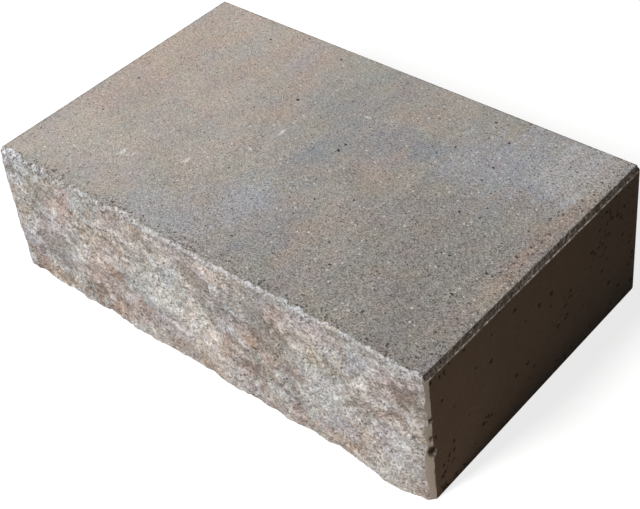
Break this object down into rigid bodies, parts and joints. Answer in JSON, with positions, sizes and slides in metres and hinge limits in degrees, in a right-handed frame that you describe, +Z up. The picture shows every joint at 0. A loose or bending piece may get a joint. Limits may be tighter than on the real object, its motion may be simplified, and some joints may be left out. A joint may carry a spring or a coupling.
{
  "type": "block step",
  "caption": "Concrete block step for outdoor stairs, with a rock-split front face, a bevelled level tread and smooth moulded ends and back.",
  "frame": {"origin": "on the underside, at the middle of the length and of the overall depth", "axes": "+X along the step's length, +Y from the split face towards the moulded back, +Z up from the underside to the tread"},
  "size_m": [0.6, 0.375, 0.17],
  "materials": {
    "concrete": "matt sandy concrete, clouded beige and grey; rough and paler where it is split"
  },
  "bodies": {
    "root": {"step_block": "concrete"}
  },
  "joints": []
}
